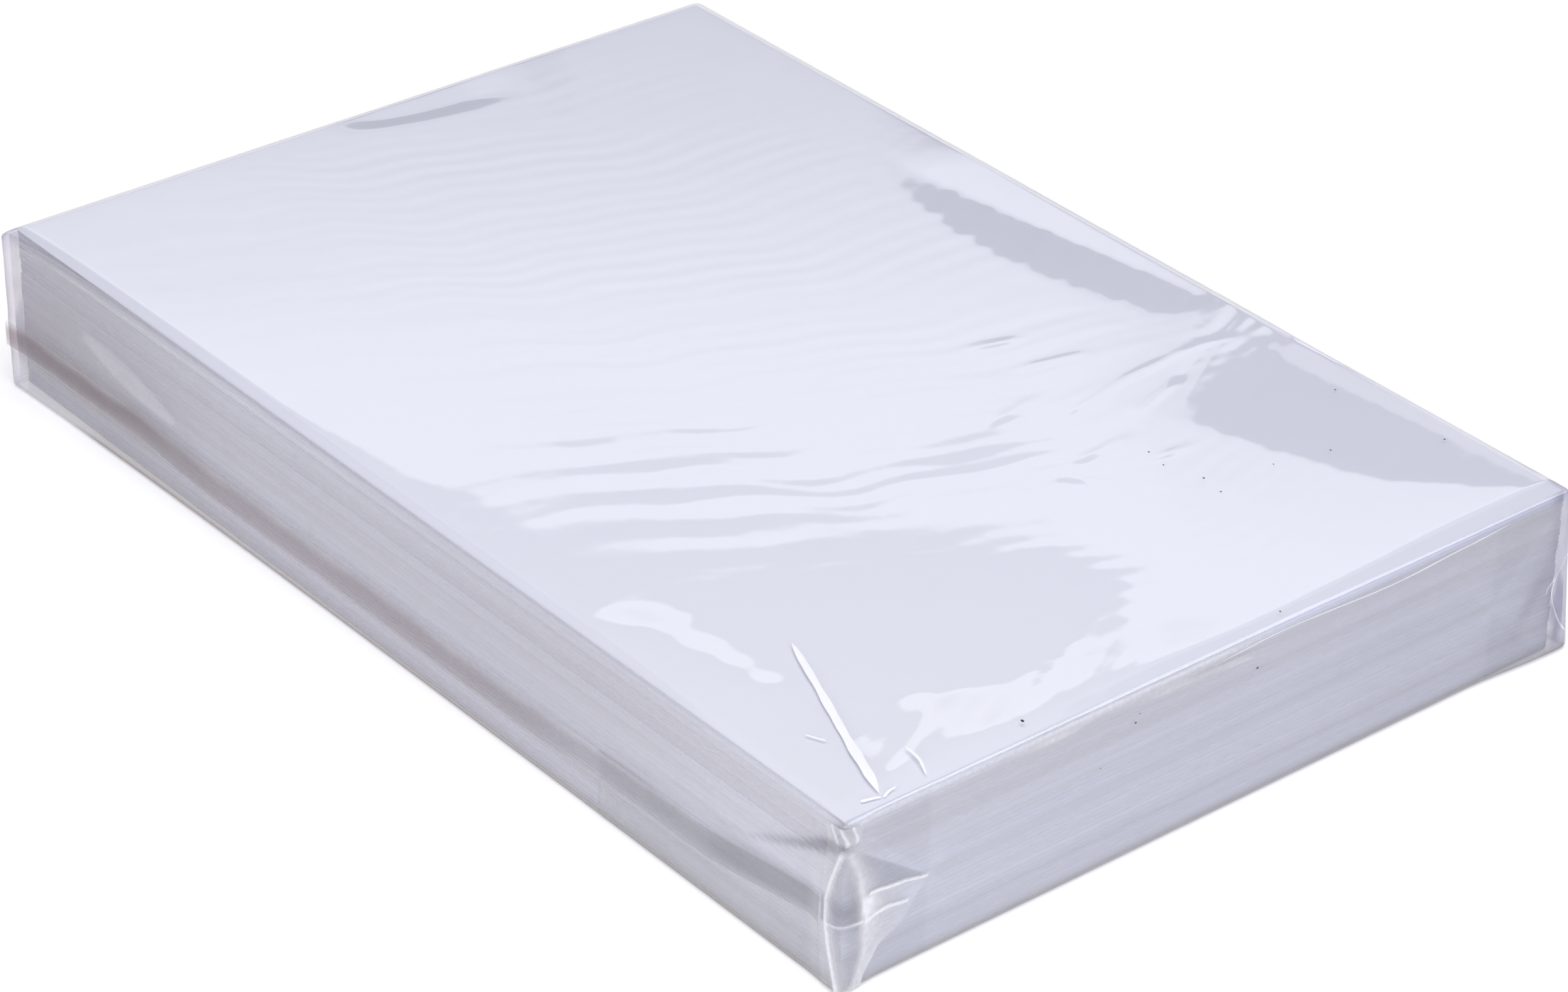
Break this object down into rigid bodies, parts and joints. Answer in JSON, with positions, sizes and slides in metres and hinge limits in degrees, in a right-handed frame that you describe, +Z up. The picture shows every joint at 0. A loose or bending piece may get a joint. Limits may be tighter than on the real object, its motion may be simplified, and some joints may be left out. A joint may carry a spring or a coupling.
{
  "type": "pack of photo paper",
  "caption": "Rectangular stack of loose glossy photo paper sheets in a tight clear film wrapping with a lap seam and folded ends.",
  "frame": {"origin": "centre of the pack's box, on the surface it lies on", "axes": "+X along the long side, +Y along the short side away from the wall with the lap seam, +Z up through the stack"},
  "size_m": [0.153, 0.1069, 0.0207],
  "materials": {
    "paper": "smooth resin-coated white paper, bare cut edges",
    "clear_film": "clear high-gloss film, creased and rippled"
  },
  "bodies": {
    "root": {"paper_stack": "paper", "film_wrap": "clear_film"}
  },
  "joints": []
}
